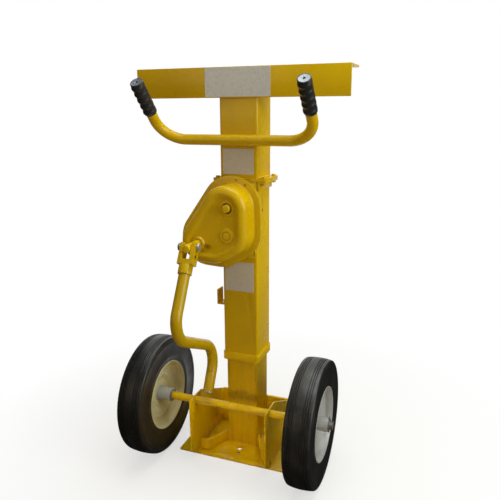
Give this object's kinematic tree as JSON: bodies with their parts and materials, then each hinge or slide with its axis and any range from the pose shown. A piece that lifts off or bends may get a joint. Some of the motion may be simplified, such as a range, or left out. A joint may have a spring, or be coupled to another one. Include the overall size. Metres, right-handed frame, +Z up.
{
  "type": "wheeled trailer stabilizing jack",
  "caption": "Yellow crank-up trailer jack: telescoping square leg on a base plate, gearbox and folding crank, bearing beam on top, push handle and transport wheels.",
  "frame": {"origin": "on the ground, under the centre of the leg", "axes": "+X to the operator's right, along the bearing beam and the axle; +Y away from the operator; +Z up"},
  "size_m": [0.52, 0.3805, 0.971],
  "materials": {
    "enamel": "glossy warm yellow enamel, worn",
    "tyre": "matte black rubber, dusty",
    "rim_paint": "satin off-white paint",
    "zinc": "dull zinc plate",
    "grip_cap": "satin metal",
    "steel": "bare oiled steel",
    "bronze": "sintered bronze",
    "grip_rubber": "ridged black rubber"
  },
  "bodies": {
    "base": {"base_plate": "enamel", "left_side_plate": "enamel", "right_side_plate": "enamel", "front_plate": "enamel", "left_brace": "enamel", "right_brace": "enamel", "inner_leg": "enamel", "screw_nut": "bronze", "axle": "enamel", "axle_washers": "zinc", "cotter_pins": "steel"},
    "left_wheel": {"left_tyre": "tyre", "left_rim": "rim_paint", "left_hub": "rim_paint", "left_bushes": "bronze"},
    "right_wheel": {"right_tyre": "tyre", "right_rim": "rim_paint", "right_hub": "rim_paint", "right_bushes": "bronze"},
    "mast": {"outer_leg": "enamel", "leg_collar": "enamel", "leg_ears": "enamel", "post_foot": "enamel", "post": "enamel", "bearing_beam": "enamel", "flange_bolts": "zinc", "flange_nuts": "zinc", "handlebar": "enamel", "left_grip": "grip_rubber", "right_grip": "grip_rubber", "left_grip_cap": "grip_cap", "right_grip_cap": "grip_cap", "crank_hook": "enamel", "gearbox_back": "enamel", "gearbox_cover": "enamel", "shaft_bushes": "bronze", "idler_pin": "enamel", "bearing_plate": "steel", "thrust_bearing": "steel"},
    "screw": {"lead_screw": "steel", "bevel_gear": "steel", "screw_lock_nut": "zinc"},
    "output": {"output_shaft": "enamel", "bevel_pinion": "steel", "output_gear": "steel"},
    "idler": {"idler_gear": "steel", "idler_pinion": "steel"},
    "input": {"input_shaft": "enamel", "input_pinion": "steel", "fork_bolt": "zinc", "fork_nut": "zinc"},
    "crank": {"crank_fork": "enamel", "crank_tube": "enamel", "sleeve_washer": "zinc"},
    "sleeve": {"crank_sleeve": "enamel"}
  },
  "joints": [
    {"name": "lift", "type": "slide", "parent": "base", "child": "mast", "axis": [0, 0, 1], "range_m": [0, 0.29]},
    {"name": "screw_turn", "type": "hinge", "parent": "mast", "child": "screw", "pos_m": [-0.01, 0, 0.5], "axis": [0, 0, 1], "range_deg": [0, 16442]},
    {"name": "output_turn", "type": "hinge", "parent": "mast", "child": "output", "pos_m": [-0.01, -0.06, 0.654], "axis": [0, 1, 0], "range_deg": [-24663, 0]},
    {"name": "idler_turn", "type": "hinge", "parent": "mast", "child": "idler", "pos_m": [-0.01196, -0.07, 0.58803], "axis": [0, 1, 0], "range_deg": [0, 37942]},
    {"name": "crank_swing", "type": "hinge", "parent": "mast", "child": "input", "pos_m": [-0.08575, -0.1, 0.56603], "axis": [0, 1, 0], "range_deg": [0, 12]},
    {"name": "crank_fold", "type": "hinge", "parent": "input", "child": "crank", "pos_m": [-0.08575, -0.145, 0.56603], "axis": [-0.9986, 0, -0.0523], "range_deg": [0, 57]},
    {"name": "sleeve_spin", "type": "hinge", "parent": "crank", "child": "sleeve", "pos_m": [-0.06658, -0.09682, 0.20019], "axis": [-0.0439, 0.5446, 0.8375], "continuous": true},
    {"name": "left_wheel_spin", "type": "hinge", "parent": "base", "child": "left_wheel", "pos_m": [-0.20775, -0.112, 0.1545], "axis": [1, 0, 0], "continuous": true},
    {"name": "right_wheel_spin", "type": "hinge", "parent": "base", "child": "right_wheel", "pos_m": [0.20775, -0.112, 0.1545], "axis": [1, 0, 0], "continuous": true}
  ],
  "couplings": [
    {"joint": "screw_turn", "follows": "lift", "rad_per_m": 989.48},
    {"joint": "output_turn", "follows": "lift", "rad_per_m": -1484.2},
    {"joint": "idler_turn", "follows": "lift", "rad_per_m": 2283.4}
  ]
}
